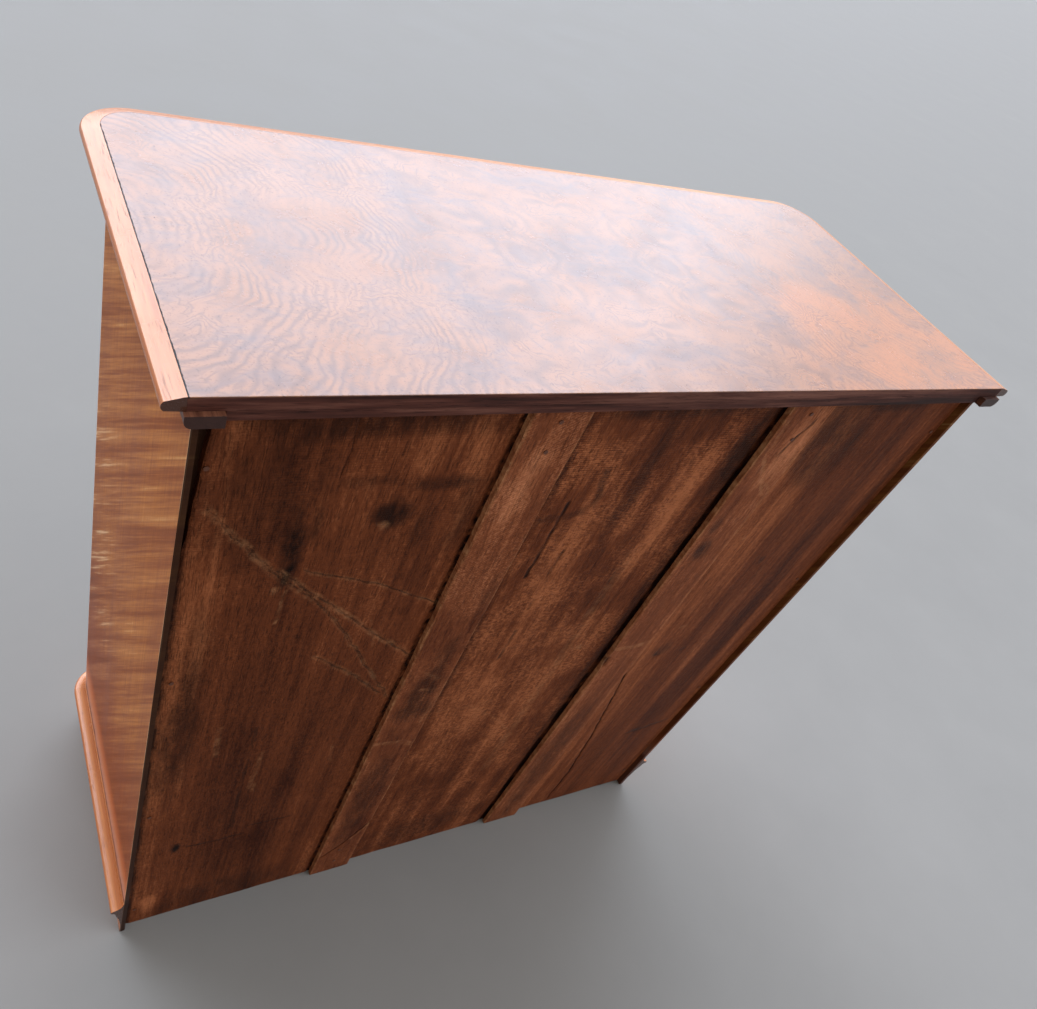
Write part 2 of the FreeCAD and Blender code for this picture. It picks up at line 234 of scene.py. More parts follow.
def burr_material():
    """Four-way book-matched burr walnut under a worn polish."""
    s = Shader("burr_walnut")
    x, y, _ = s.split(s.place)
    u = s.math("ABSOLUTE", s.math("SUBTRACT", x, MATCH[0]))
    v = s.math("ABSOLUTE", s.math("SUBTRACT", y, MATCH[1]))
    q = s.join(u, v, 0.31)
    wide = s.warped(q, 9, 0.07, 2)
    fine = s.warped(s.warped(wide, 34, 0.018, 3), 90, 0.004, 2)
    fu, fv, _ = s.split(fine)
    # growth lines: rings round each end, looser contours towards the middle
    around = s.away(s.math("SUBTRACT", fu, 0.45), s.math("MULTIPLY", fv, 0.6))
    ribbon = s.ripple(s.plus(s.noise(q, 25, 2), 0.016, around), RIBBON)
    contour = s.ripple(s.noise(fine, 6.5, 1.5), 0.07)
    at_end = s.span(u, 0.16, 0.23)
    lines = s.add("ShaderNodeMix", 0, {0: at_end, 2: contour, 3: ribbon}, data_type="FLOAT")
    lines = s.math("POWER", lines, 1.7)
    lines = s.math("MULTIPLY", lines, s.span(s.noise(wide, 18, 3), 0.38, 0.62, 0.25, 1.0))
    lines = s.math("MULTIPLY", lines, s.span(x, -0.32, -0.12, 0.4, 1.0))
    curl = s.math("POWER", s.ripple(s.noise(fine, 13, 3, 0.55), 0.045), 3.0)
    curl = s.math("MULTIPLY", curl, s.span(s.noise(wide, 27, 2), 0.42, 0.58, 0.1, 0.8))
    # clouds of burr, smaller wisps inside them, and the dark heart in the middle
    patch = s.noise(fine, 15, 6, 0.6)
    wisp = s.noise(s.stretch(wide, 0.7, 1.25, 1), 42, 5, 0.62, 1.2)
    cloud = s.plus(wisp, 0.45, s.math("MULTIPLY", patch, 0.55))
    heart = s.away(s.math("MULTIPLY", fu, 0.5), s.math("SUBTRACT", fv, 0.03))
    bar = s.away(s.math("SUBTRACT", fu, 0.1), s.math("MULTIPLY", fv, 0.35))
    swirl = s.cells(s.warped(q, 20, 0.03), 9.5)
    dusk = s.math("ADD", s.span(heart, 0.006, 0.04, 0.07, 0), s.span(bar, 0.003, 0.014, 0.08, 0))
    dusk = s.math("ADD", dusk, s.span(swirl, 0.05, 0.25, 0.035, -0.02))
    warm = s.product(s.span(x, -0.10, -0.24), s.span(s.plus(patch, 0.2, y), 0.06, 0.19))
    pale = s.span(s.plus(warm, 0.05, s.math("SUBTRACT", cloud, dusk)), 0.34, 0.60)
    colour = s.mix(pale, srgb(124, 96, 90), srgb(160, 110, 80))
    colour = s.mix(s.product(warm, s.span(patch, 0.38, 0.6, 0.2, 0.6)), colour, srgb(196, 120, 70))
    lined = s.product(s.math("MAXIMUM", lines, curl), s.plus(pale, 0.22, 0.34))
    colour = s.mix(lined, colour, srgb(88, 66, 66))
    speck = s.noise(s.warped(q, 120, 0.01), 420, 4, 0.65)
    colour = s.mix(s.span(speck, 0.52, 0.72, 0, 0.5), colour, srgb(74, 48, 42))
    pits = s.span(s.noise(s.place, 380, 2), 0.70, 0.74)
    pits = s.math("MULTIPLY", pits, s.span(s.noise(s.place, 20, 2), 0.5, 0.65))
    colour = s.mix(pits, colour, srgb(40, 26, 30))
    # the open joint between the veneer and its edging at one end
    ragged = s.plus(s.noise(s.place, 150, 4, 0.65), 2.6 * MM, x)
    joint = s.span(ragged, JOINT, JOINT + 0.5 * MM)
    colour = s.mix(joint, colour, srgb(20, 14, 16))
    dull = s.noise(s.place, 18, 5, 0.6)
    rough = s.math("ADD", s.span(dull, 0.3, 0.75, 0.19, 0.30), s.math("MULTIPLY", joint, 0.5))
    height = s.plus(speck, 0.35, s.noise(s.place, 60, 3))
    height = s.math("SUBTRACT", height, s.math("MULTIPLY", s.math("MAXIMUM", pits, joint), 0.8))
    return s.done(colour, rough, s.bump(height, 0.12 * MM), **{"Specular IOR Level": 0.5})


def side_material():
    """Polished walnut side, straight grain with a raking ripple that fans out, its bands both ripple figure
    and painted reflection streaks.
    """
    s = Shader("side_walnut")
    x, y, z = s.split(s.place)
    grain = s.stretch(s.place, 1, 1, 0.04)
    lines = s.noise(s.warped(grain, 10, 0.01), 230, 4, 0.6)
    broad = s.noise(grain, 24, 3)
    angle = s.math("ARCTAN2", s.math("SUBTRACT", FAN[1], z), s.math("SUBTRACT", FAN[0], y))
    fan = s.join(s.math("MULTIPLY", angle, 75), s.math("MULTIPLY", y, 2.0), 0.0)
    # ripple figure and painted reflection: bands that fan out over the side
    ripple_and_reflection = s.noise(fan, 1.0, 5, 0.62)
    thread = s.noise(s.join(s.math("MULTIPLY", angle, 300), s.math("MULTIPLY", y, 6), 3.0), 1.0, 3, 0.6)
    tone = s.sway(ripple_and_reflection, 1.1, s.plus(lines, 0.2, s.plus(broad, 0.3, 0.175)))
    tone = s.sway(thread, 0.6, tone)
    tone = s.math("ADD", tone, s.span(z, 0.2, 0.55, -0.10, 0.02))
    colour = s.ramp(tone, (0.0, srgb(118, 56, 20)), (0.33, srgb(158, 84, 34)), (0.6, srgb(200, 124, 56)),
                    (0.9, srgb(246, 194, 124)))
    redder = s.span(z, 0.2, 0.5, 0.35, 0.0)
    colour = s.mix(redder, colour, srgb(150, 60, 26))
    # painted highlight: cream glints where the ripple catches the light, near the front at mid height
    here = s.product(s.span(y, 0.04, -0.08), s.span(z, 0.28, 0.42), s.span(z, 0.72, 0.6))
    glint = s.product(s.span(s.plus(ripple_and_reflection, 0.5, s.math("MULTIPLY", thread, 0.5)), 0.53, 0.62), here)
    colour = s.mix(s.math("MULTIPLY", glint, 0.55), colour, srgb(252, 216, 172))
    # the front and the inner faces are plainer, straight up and down
    plain_tone = s.plus(lines, 0.6, s.math("MULTIPLY", broad, 0.45))
    straight = s.ramp(plain_tone, *zip((0.3, 0.52, 0.75), FRONT_RAIL))
    from_middle = s.math("ABSOLUTE", x)
    figured = s.product(s.span(s.facing(1), -0.8, -0.35), s.span(from_middle, *OUTSIDE_SPAN))
    colour = s.mix(figured, straight, colour)
    pores = s.span(s.noise(grain, 1100, 2), 0.6, 0.68)
    colour = s.mix(s.math("MULTIPLY", pores, 0.3), colour, srgb(70, 34, 24))
    # a paler strip above the base moulding, standing in for the moulding mirrored in the polish
    edge = s.sway(ripple_and_reflection, 0.02, z)
    mirrored = s.ramp(s.span(edge, *MIRROR_SPAN), (0.0, srgb(122, 74, 62)), (0.06, srgb(222, 164, 148)),
                      (0.28, srgb(232, 156, 122)), (0.55, srgb(226, 130, 84)), (0.85, srgb(196, 100, 52)))
    strip = s.span(edge, 0.160, 0.190, 1, 0)
    colour = s.mix(s.product(strip, figured, 0.66), colour, mirrored)
    # a painted highlight along the rear arris of the left side, and the rear faces painted darker with grime
    # and painted shade
    highlight_breakup = s.span(lines, 0.35, 0.55, 0.1, 0.7)
    arris = s.product(s.span(y, *ARRIS_Y_SPAN), s.span(x, *ARRIS_X_SPAN), highlight_breakup)
    colour = s.mix(arris, colour, srgb(246, 200, 158))
    # grime and painted shade: the rear faces and the inside of the rear lip painted darker, more on the left
    # side than the right
    rear_grime_and_shade = s.span(s.facing(1), 0.6, 0.9)
    lip = s.product(s.span(y, *LIP_Y_SPAN), s.span(from_middle, *LIP_X_SPAN, 1, 0))
    rear_grime_and_shade = s.math("MULTIPLY", s.math("MAXIMUM", rear_grime_and_shade, lip), s.span(x, -0.3, 0.3, 0.72, 0.94))
    colour = s.mix(rear_grime_and_shade, colour, srgb(44, 30, 24))
    rough = s.plus(ripple_and_reflection, -0.2, s.plus(broad, 0.1, 0.40))
    return s.done(colour, rough, s.bump(lines, 0.05 * MM), **{"Specular IOR Level": 0.03})


def board_material(name, dark, mid, light, saw_turn=0.0, pitch=2.7):
    """Rough-sawn stained board. saw_turn is in radians, pitch in mm between saw marks.

    The marks attribute holds stains together with painted shade, scrapes together with painted highlights,
    tone and how rough the sawing is.
    """
    s = Shader(name)
    marks = s.add("ShaderNodeAttribute", "Color", attribute_name="marks")
    stain_and_shade, pale, tone_shift = s.add("ShaderNodeSeparateColor", 0, {0: marks}).node.outputs
    sawn = marks.node.outputs["Alpha"]
    x, _, z = s.split(s.place)
    grain = s.stretch(s.place, 1, 1, 0.035)
    wavy = s.warped(grain, 8, 0.02)
    broad = s.noise(wavy, 20, 3, 0.6)
    lines = s.noise(wavy, 170, 5, 0.65)
    fibre = s.noise(s.stretch(s.place, 1, 1, 0.06), 900, 3, 0.6)
    across = s.plus(x, math.tan(saw_turn), z)
    saw_line = s.plus(s.noise(s.place, 25, 3), 5 * MM, across)
    saw_wave = s.ripple(saw_line, pitch * MM)
    saw_here = s.span(s.noise(s.stretch(s.place, 3, 1, 2), 6, 5, 0.65), 0.34, 0.60)
    chatter = s.span(s.noise(s.stretch(s.place, 0.6, 1, 1), 360, 3, 0.65), 0.36, 0.62)
    saw_tooth = s.plus(chatter, 0.8, s.math("MULTIPLY", saw_wave, 0.5))
    saw_cut = s.product(saw_tooth, s.math("MULTIPLY", saw_here, sawn))
    tone = s.sway(lines, 0.42, s.plus(broad, 0.75, 0.125))
    tone = s.math("ADD", tone, s.math("SUBTRACT", tone_shift, 0.5))
    tone = s.sway(s.noise(s.stretch(s.place, 1, 1, 0.16), 24, 6, 0.7), 0.3, tone)
    tone = s.plus(s.math("SUBTRACT", saw_cut, s.math("MULTIPLY", sawn, 0.6)), 0.24, tone)
    fine = s.noise(s.stretch(s.place, 1, 1, 0.3), 470, 3, 0.7)
    tone = s.sway(fine, 0.4, tone)
    colour = s.ramp(tone, (0.2, dark), (0.5, mid), (0.8, light))
    pits = s.span(fibre, 0.54, 0.68)
    colour = s.mix(s.math("MULTIPLY", pits, 0.4), colour, tuple(c * 0.35 for c in dark))
    # the first channel darkens for stains and for painted shade beside the uprights and under the top rail
    grime_and_shade = s.noise(s.stretch(s.place, 1.3, 1, 0.5), 60, 6, 0.7)
    stain_and_shade = s.math("MULTIPLY", stain_and_shade, s.span(grime_and_shade, 0.3, 0.6, 0.45, 1.25), clamp=True)
    colour = s.mix(stain_and_shade, colour, tuple(c * 0.2 for c in dark))
    # the second channel lightens for scrapes and for the painted highlight on the uprights' arrises
    broken_up = s.span(s.noise(s.place, 80, 5, 0.7), 0.40, 0.66, 0.15, 1.1)
    scrapes_and_highlights = s.math("MULTIPLY", pale, broken_up, clamp=True)
    colour = s.mix(scrapes_and_highlights, colour, srgb(190, 134, 92))
    height = s.plus(saw_cut, 0.8, s.plus(pits, -0.5, s.plus(fine, 0.6, lines)))
    rough = s.plus(broad, 0.2, s.plus(stain_and_shade, -0.15, 0.52))
    return s.done(colour, rough, s.bump(height, 0.8 * MM), **{"Specular IOR Level": 0.08})


def iron_material():
    s = Shader("nail_iron")
    rust = s.noise(s.place, 900, 5, 0.7)
    colour = s.ramp(rust, (0.3, srgb(74, 42, 27)), (0.6, srgb(108, 62, 40)), (0.8, srgb(136, 86, 58)))
    return s.done(colour, s.span(rust, 0.3, 0.7, 0.45, 0.8), s.bump(rust, 0.2 * MM), Metallic=0.2)


WALNUT = (srgb(176, 106, 64), srgb(206, 136, 88), srgb(222, 158, 112))
CORNICE = (srgb(66, 36, 26), srgb(98, 58, 42), srgb(132, 84, 62))
INSIDE = (srgb(92, 58, 38), srgb(150, 104, 70), srgb(190, 146, 104))
PINE = (srgb(46, 24, 20), srgb(84, 46, 37), srgb(126, 82, 68))
BLOCK = (srgb(120, 84, 52), srgb(176, 132, 86), srgb(214, 176, 126))
UPRIGHT = (srgb(82, 36, 18), srgb(136, 76, 46), srgb(200, 128, 88))
BACK = (srgb(56, 22, 9), srgb(114, 59, 32), srgb(180, 108, 68))

burr = burr_material()
side = side_material()
solid = {a: plain_wood("solid_walnut_" + a.lower(), a, *WALNUT, rough=0.24, relief=0.05, figure=0.5,
                       wear=0.12, grime_and_shade=True, steep_face_shade=srgb(168, 84, 32)) for a in "XY"}
front_rail = plain_wood("front_walnut", "X", *FRONT_RAIL, rough=0.4, relief=0.05, wear=0.12, level=0.15)
cornice = {a: plain_wood("cornice_walnut_" + a.lower(), a, *CORNICE, rough=0.42, relief=0.1, level=0.3,
                         grime_and_shade=True) for a in "XY"}
inside = {a: plain_wood("inside_wood_" + a.lower(), a, *INSIDE, rough=0.62) for a in "XYZ"}
pine = plain_wood("ground_pine", "X", *PINE, rough=0.6, relief=0.3, level=0.15)
block = plain_wood("block_pine", "X", *BLOCK, rough=0.7, relief=0.3)
iron = iron_material()
back_wood = board_material("stained_back", *BACK)
upright_wood = board_material("stained_upright", *UPRIGHT, saw_turn=0.6, pitch=3.6)


def material_for(node):
    if node == "top_veneer":
        return burr
    if node.startswith(("top_edging", "base_moulding")):
        return solid["X" if node.endswith("front") else "Y"]
    if node.startswith("cornice_") and node != "cornice_rear_rail":
        return cornice["X" if node.endswith("front") else "Y"]
    if node.startswith("shelf_") and node.endswith("_edge"):
        return solid["X"]
    if node.startswith(("side_", "corner_post")):
        return side
    if node in ("frieze_rail", "plinth_rail"):
        return front_rail
    if node.startswith("back_panel"):
        return back_wood
    if node.startswith("back_muntin"):
        return upright_wood
    if node in ("top_board", "cornice_rear_rail"):
        return pine
    if node == "glue_blocks":
        return block
    if node == "back_nails":
        return iron
    if node.startswith("shelf_rack"):
        return inside["Z"]
    if node.startswith("cleat"):
        return inside["Y"]
    return inside["X"]


ARRIS_WIDTH = 0.5 * MM
ARRIS_ANGLE = math.radians(35)


def soften(obj):
    """Rounds the arrises of a CAD part with modifiers only."""
    weld = obj.modifiers.new("join", "WELD")
    weld.merge_threshold = 1e-5
    bevel = obj.modifiers.new("arris", "BEVEL")
    bevel.width, bevel.segments = ARRIS_WIDTH, 2
    bevel.limit_method, bevel.angle_limit = "ANGLE", ARRIS_ANGLE
    bevel.harden_normals = False
    even = obj.modifiers.new("even", "WEIGHTED_NORMAL")
    even.keep_sharp = False


for node, obj in nodes.items():
    obj.data.materials.clear()
    obj.data.materials.append(material_for(node))
    if node != "back_nails":
        soften(obj)


# ---------------------------------------------------------------- back boards
def field(x, z, cell_x, cell_z, seed):
    """Smooth noise from 0 to 1 over metres, one random value per cell."""
    a, b = x / cell_x + 1000.0, z / cell_z + 1000.0
    i, j = np.floor(a).astype(int), np.floor(b).astype(int)
    table = np.random.default_rng(seed).random((64, 64))
    s, t = a - i, b - j
    s, t = s * s * (3 - 2 * s), t * t * (3 - 2 * t)
    i, j, k, m = i % 64, j % 64, (i + 1) % 64, (j + 1) % 64
    low, high = (table[i, row] * (1 - s) + table[k, row] * s for row in (j, m))
    return low * (1 - t) + high * t


def ease(value, low, high):
    t = np.clip((value - low) / (high - low), 0, 1)
    return t * t * (3 - 2 * t)


def from_line(x, z, points):
    """Distance in metres of each place to a line through points given in mm."""
    best = np.full(len(x), 1e9)
    for (ax, az), (bx, bz) in zip(points, points[1:]):
        ax, az, bx, bz = ax * MM, az * MM, bx * MM, bz * MM
        dx, dz = bx - ax, bz - az
        t = np.clip(((x - ax) * dx + (z - az) * dz) / (dx * dx + dz * dz), 0, 1)
        best = np.minimum(best, np.hypot(x - ax - t * dx, z - az - t * dz))
    return best


def wander(points, seed, by=0.7, step=7.0):
    """The line through points in mm with a slightly unsteady course."""
    draw = np.random.default_rng(seed)
    course = []
    for (ax, az), (bx, bz) in zip(points, points[1:]):
        count = max(1, int(math.hypot(bx - ax, bz - az) / step))
        for k in range(count):
            ox, oz = draw.normal(0, by, 2) if course else (0, 0)
            course.append((ax + (bx - ax) * k / count + ox, az + (bz - az) * k / count + oz))
    return course + [points[-1]]


def outline(lo, hi, step, wear, seed):
    """Points round a board's ragged edge, in order, in metres."""
    (x0, z0), (x1, z1) = lo, hi
    across, up = max(3, round((x1 - x0) / step)), max(3, round((z1 - z0) / step))
    loop = [(x0 + (x1 - x0) * k / across, z0) for k in range(across)]
    loop += [(x1, z0 + (z1 - z0) * k / up) for k in range(up)]
    loop += [(x1 - (x1 - x0) * k / across, z1) for k in range(across)]
    loop += [(x0, z1 - (z1 - z0) * k / up) for k in range(up)]
    loop = np.array(loop)
    x, z = loop.T
    bite = wear * (0.35 * field(x, z, 0.011, 0.011, seed) + 0.65 * field(x, z, 0.05, 0.05, seed + 1) ** 2)
    x = np.where(x <= x0, x0 + bite, np.where(x >= x1, x1 - bite, x))
    z = np.where(z <= z0, z0 + bite, z)
    return np.stack([x, z], 1)


class Board:
    """A sawn board whose back face carries real scratches, cracks, dents and rounded arrises."""

    def __init__(self, name, low, high, seed, round_over=1.2, wear=0.9, step=4.2, short=0.0, saw=0.5,
                 rubbed=0.0, broken=None):
        """round_over, wear and step are in mm. short, in metres, is what the lower end has lost."""
        self.name, self.low, self.high, self.seed = name, Vector(low), Vector(high), seed
        self.low.z += short
        self.round_over, self.wear, self.step = round_over * MM, wear * MM, step * MM
        self.saw, self.rubbed, self.broken = saw, rubbed, broken
        self.lines, self.spots, self.edges = [], [], []

    def line(self, points, width, depth, dark=0.0, pale=0.0, by=0.7):
        """A scratch or crack through points in mm, width and depth in mm."""
        self.lines.append((wander(points, self.seed + 31 * len(self.lines), by), width, depth, dark, pale))

    def scrape(self, points, width, pale, by=0.8):
        """A scraped band through points in mm, with a fine dark scratch along both sides."""
        self.line(points, width, 0.25, pale=pale, by=by)
        course, _, _, _, _ = self.lines[-1]
        for side in (-0.45, 0.45):
            beside = [(x + side * width, z + side * width * 0.7) for x, z in course]
            self.lines.append((beside, 1.0, 0.5, 0.75, 0.0))

    def edge(self, x, width, depth, dark):
        """A hollow that runs the board's height beside x, in mm, darkened as painted shadow of the part
        beside it. Its sign says which side it fades to.
        """
        self.edges.append((x, width, depth, dark))

    def spot(self, x, z, rx, rz, dark=0.0, pale=0.0, depth=0.0, lighter=0.0):
        """An oval mark about x, z with half sizes rx and rz, in mm. lighter shifts the tone."""
        self.spots.append((x, z, rx, rz, dark, pale, depth, lighter))

    def limit(self, z):
        """Where the board ends in +X at each height.

        broken is the height that a break starts at and how much is gone at the top.
        """
        if not self.broken:
            return np.full(np.shape(z), self.high.x)
        start, gone = self.broken
        part = np.clip((z - start) / (self.high.z - start), 0, 1)
        ragged = 1.5 * MM * field(z, z, 0.017, 0.017, self.seed + 170)
        return self.high.x - part * gone - ragged * ease(part, 0, 0.1)

    def inside(self, places):
        return ((places[:, 0] > self.low.x + 0.4 * MM) & (places[:, 0] < self.limit(places[:, 1]) - 0.8 * MM)
                & (places[:, 1] > self.low.z + 0.4 * MM) & (places[:, 1] < self.high.z - 0.4 * MM))

    def places(self, edge):
        """Points of the back face: an uneven grid, rows along the edge and rows along each line."""
        draw = np.random.default_rng(self.seed)
        gx = np.arange(self.low.x + self.step, self.high.x - self.step * 0.7, self.step)
        gz = np.arange(self.low.z + self.step, self.high.z - self.step * 0.7, self.step * 1.25)
        grid = np.stack(np.meshgrid(gx, gz), -1).reshape(-1, 2)
        grid = grid + draw.uniform(-0.25, 0.25, grid.shape) * self.step
        rows = [grid]
        middle = np.array([(self.low.x + self.high.x) / 2, (self.low.z + self.high.z) / 2])
        half = np.array([(self.high.x - self.low.x) / 2, (self.high.z - self.low.z) / 2])
        for inset in (0.3, 0.7, 1.3, 2.4):
            rows.append(middle + (edge - middle) * (1 - inset * self.round_over / half))
        for points, width, _, _, _ in self.lines:
            p = np.array(points) * MM
            run = np.diff(p, axis=0)
            length = np.hypot(*run.T)
            side = np.stack([-run[:, 1], run[:, 0]], 1) / length[:, None]
            for k in range(len(run)):
                for t in np.arange(0, 1, min(1.0, 2.2 * MM / length[k])):
                    for off in (0.0, -0.5, 0.5, -1.0, 1.0):
                        rows.append((p[k] + t * run[k] + off * width * MM * side[k])[None])
        every = np.concatenate(rows)
        every = every[self.inside(every)]
        return np.concatenate([edge, every])

    def depth_and_marks(self, x, z):
        """How far each place of the back face is below its plane, and its stain, scrape and tone."""
        depth = 0.55 * MM * field(x, z, 0.045, 0.3, self.seed + 5)
        depth += 0.18 * MM * field(x, z, 0.012, 0.06, self.seed + 6)
        dark, pale, tone = (np.zeros(len(x)) for _ in range(3))
        for number, (points, width, deep, darker, paler) in enumerate(self.lines):
            away = from_line(x, z, points) / MM
            strength = 0.45 + 0.55 * field(x, z, 0.018, 0.018, self.seed + 40 + number)
            cut = np.clip(1 - away / width, 0, 1)
            depth += deep * MM * strength * cut
            core = ease(-away, -width * 1.05, -width * 0.45)
            dark = np.maximum(dark, darker * core * strength)
            pale = np.maximum(pale, paler * core * strength)
        for number, (sx, sz, rx, rz, darker, paler, deep, lighter) in enumerate(self.spots):
            cell_x, cell_z = 0.010 + 0.2 * rx * MM, 0.014 + 0.2 * rz * MM
            warp = 0.75 + 0.6 * field(x, z, cell_x, cell_z, self.seed + 80 + number)
            away = np.hypot((x / MM - sx) / rx, (z / MM - sz) / rz) * warp
            inside = 1 - ease(away, 0.35, 1.0)
            depth += deep * MM * inside
            dark = np.maximum(dark, darker * inside)
            pale = np.maximum(pale, paler * inside)
            tone += lighter * inside
        # hollows beside the uprights and the side, with painted shadow
        for number, (at, width, deep, darker) in enumerate(self.edges):
            away = (x / MM - at) / width
            ragged = 0.9 + 0.25 * field(x, z, 0.05, 0.09, self.seed + 140 + number)
            inside = np.where(away > -0.3, 1 - ease(away * ragged, 0.25, 1.0), 0)
            depth += deep * MM * inside
            dark = np.maximum(dark, darker * inside)
        # painted highlight: pale bands along the long arrises
        if self.rubbed:
            gap = np.minimum(x - self.low.x, self.high.x - x) / MM
            patchy = 0.3 + 0.7 * field(x, z, 0.01, 0.05, self.seed + 150)
            pale = np.maximum(pale, self.rubbed * patchy * ease(-gap, -3.4, -0.6))
        depth = self.shape(x, z, depth)
        return depth, dark, pale, tone

    def shape(self, x, z, depth):
        """Arrises rounded by handling."""
        gap = np.minimum.reduce([x - self.low.x, self.limit(z) - x, z - self.low.z, self.high.z - z])
        r = self.round_over * (0.6 + 0.9 * field(x, z, 0.03, 0.06, self.seed + 9))
        inward = np.clip(r - gap, 0, r)
        return depth + r - np.sqrt(np.maximum(r * r - inward * inward, 0))

    def build(self, material, slot, tongue=None):
        """The board as one mesh. tongue is two corners (x, y) of a strip in front of it."""
        corners = (self.low.x, self.low.z), (self.high.x, self.high.z)
        edge = outline(*corners, 3.4 * MM, self.wear, self.seed + 3)
        edge[:, 0] = np.minimum(edge[:, 0], self.limit(edge[:, 1]))
        flat = self.places(edge)
        count = len(edge)
        loop = list(range(count))
        found = geometry.delaunay_2d_cdt([Vector(p) for p in flat], [], [loop], 1, 1e-6)
        x, z = np.array([v[:] for v in found[0]]).T
        faces = [f for f in found[2] if len(f) == 3]
        came_from = {made: at for at, source in enumerate(found[3]) for made in source if made < count}
        ring = [came_from[k] for k in range(count)]
        depth, dark, pale, tone = self.depth_and_marks(x, z)
        y = self.high.y - np.minimum(depth, self.high.y - self.low.y - 0.8 * MM)
        verts = list(zip(x, y, z))
        base = len(verts)
        verts += [(x[k], self.low.y, z[k]) for k in ring]
        back = [f[::-1] if signed_area(x, z, f) > 0 else f for f in faces]
        walls = [(ring[(k + 1) % count], ring[k], base + k, base + (k + 1) % count) for k in range(count)]
        front = [tuple(base + k for k in range(count))]
        extra = []
        if tongue:
            (ax, ay), (bx, by) = tongue
            at = len(verts)
            verts += [(px, py, pz) for pz in (self.low.z, self.high.z)
                      for px, py in ((ax, ay), (bx, ay), (bx, by), (ax, by))]
            extra = [tuple(at + k for k in f) for f in
                     ((3, 2, 1, 0), (4, 5, 6, 7), (0, 1, 5, 4), (1, 2, 6, 5), (2, 3, 7, 6), (3, 0, 4, 7))]
        mesh = bpy.data.meshes.new(self.name)
        mesh.from_pydata(verts, [], back + walls + front + extra)
        flat_faces = len(mesh.polygons) - len(back)
        mesh.polygons.foreach_set("use_smooth", [True] * len(back) + [False] * flat_faces)
        shades = np.zeros((len(verts), 4), np.float32)
        shades[:, 2] = 0.5
        shades[:base, 0], shades[:base, 1], shades[:base, 2] = dark, pale, np.clip(0.5 + tone, 0, 1)
        for k in range(count):
            shades[base + k] = shades[ring[k]]
        shades[:, 3] = self.saw
        marks = mesh.attributes.new("marks", "FLOAT_COLOR", "POINT")
        marks.data.foreach_set("color", shades.ravel())
        mesh.materials.append(material)
        mesh.update()
        obj = bpy.data.objects.new(self.name, mesh)
        scene.collection.objects.link(obj)
        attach(obj, "case")
        return obj


def signed_area(x, z, face):
    a, b, c = face
    return (x[b] - x[a]) * (z[c] - z[a]) - (x[c] - x[a]) * (z[b] - z[a])


def board_for(node, seed, **options):
    low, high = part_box(node)
    return Board(node.replace("back_", "worn_"), low, high, seed, **options)


REBATE_Y, PANEL_REAR = 0.170, 0.1792        # front and rear of the panels
TONGUE = 6 * MM                             # how far the panels lap under each upright
CLEAR = 0.1 * MM                            # keeps a tongue's end off the face behind it

# Marks seen on the boards, with painted shadow beside the uprights and the side and under the top rail.
# Places and sizes are in mm, x and z on the back of the case.
left = board_for("back_panel_left", 100, saw=0.35, broken=(0.735, 0.0105))
left.edge(168.5, 5, 1.6, 0.95)
left.edge(432.0, -7, 0.8, 0.75)
left.spot(340, 778, 14, 66, dark=0.75)
left.spot(337, 740, 9, 28, dark=0.85)
left.spot(324, 800, 8, 40, dark=0.5)
left.spot(259, 803, 30, 24, dark=0.7)
left.spot(215, 838, 60, 12, dark=0.5)
left.spot(285, 845, 50, 9, dark=0.35)
left.spot(185, 800, 20, 70, dark=0.4)
left.spot(225, 780, 14, 40, dark=0.35)
# painted shade under the top rail
left.spot(300, 912, 170, 34, dark=0.55)
left.spot(385, 845, 75, 120, dark=0.3, lighter=-0.12)
left.spot(225, 880, 60, 50, lighter=0.1)
left.spot(190, 830, 24, 110, lighter=0.06)
left.spot(300, 820, 90, 60, lighter=0.06)
left.spot(290, 450, 170, 560, lighter=-0.05)
left.spot(263, 791, 8, 7, pale=0.45, lighter=0.25)
left.spot(346, 717, 5, 6, pale=0.6)
left.spot(384, 217, 8, 20, dark=0.85)
left.spot(404, 500, 28, 210, dark=0.5)
left.spot(405, 640, 16, 90, dark=0.3)
left.spot(250, 650, 60, 170, lighter=0.06)
left.scrape([(415, 824), (380, 778), (340, 730), (300, 690)], 5.5, 0.34)
left.scrape([(330, 728), (280, 664), (240, 600), (177, 492)], 4.0, 0.24)
left.scrape([(346, 742), (252, 649), (174, 574)], 5.5, 0.4)
left.scrape([(321, 739), (240, 705), (165, 661)], 4.0, 0.22)
left.scrape([(284, 599), (234, 555), (190, 505)], 5.0, 0.24)
left.line([(335, 715), (337, 668)], 2.2, 0.3, pale=0.4)
left.line([(237, 650), (222, 600)], 2.2, 0.3, pale=0.3)
left.line([(365, 492), (362, 436)], 4.5, 0.1, pale=0.3)
left.line([(309, 417), (311, 336)], 4.0, 0.1, pale=0.28)
left.line([(305, 345), (306, 330)], 2.5, 0.2, pale=0.6)
left.line([(221, 400), (215, 360)], 3.0, 0.2, pale=0.25)
left.line([(324, 480), (322, 360), (318, 236)], 3.0, 0.25, dark=0.55)
left.line([(371, 212), (330, 207), (302, 208)], 3.0, 0.2, dark=0.6)
left.line([(296, 229), (240, 226)], 2.0, 0.2, dark=0.6)
left.line([(316, 925), (315, 880), (317, 852)], 0.9, 0.8, dark=0.8, by=0.3)
left.spot(405, 60, 14, 40, lighter=0.18)
left.spot(300, 30, 150, 70, dark=0.35)
left.spot(300, 160, 120, 90, lighter=-0.06)

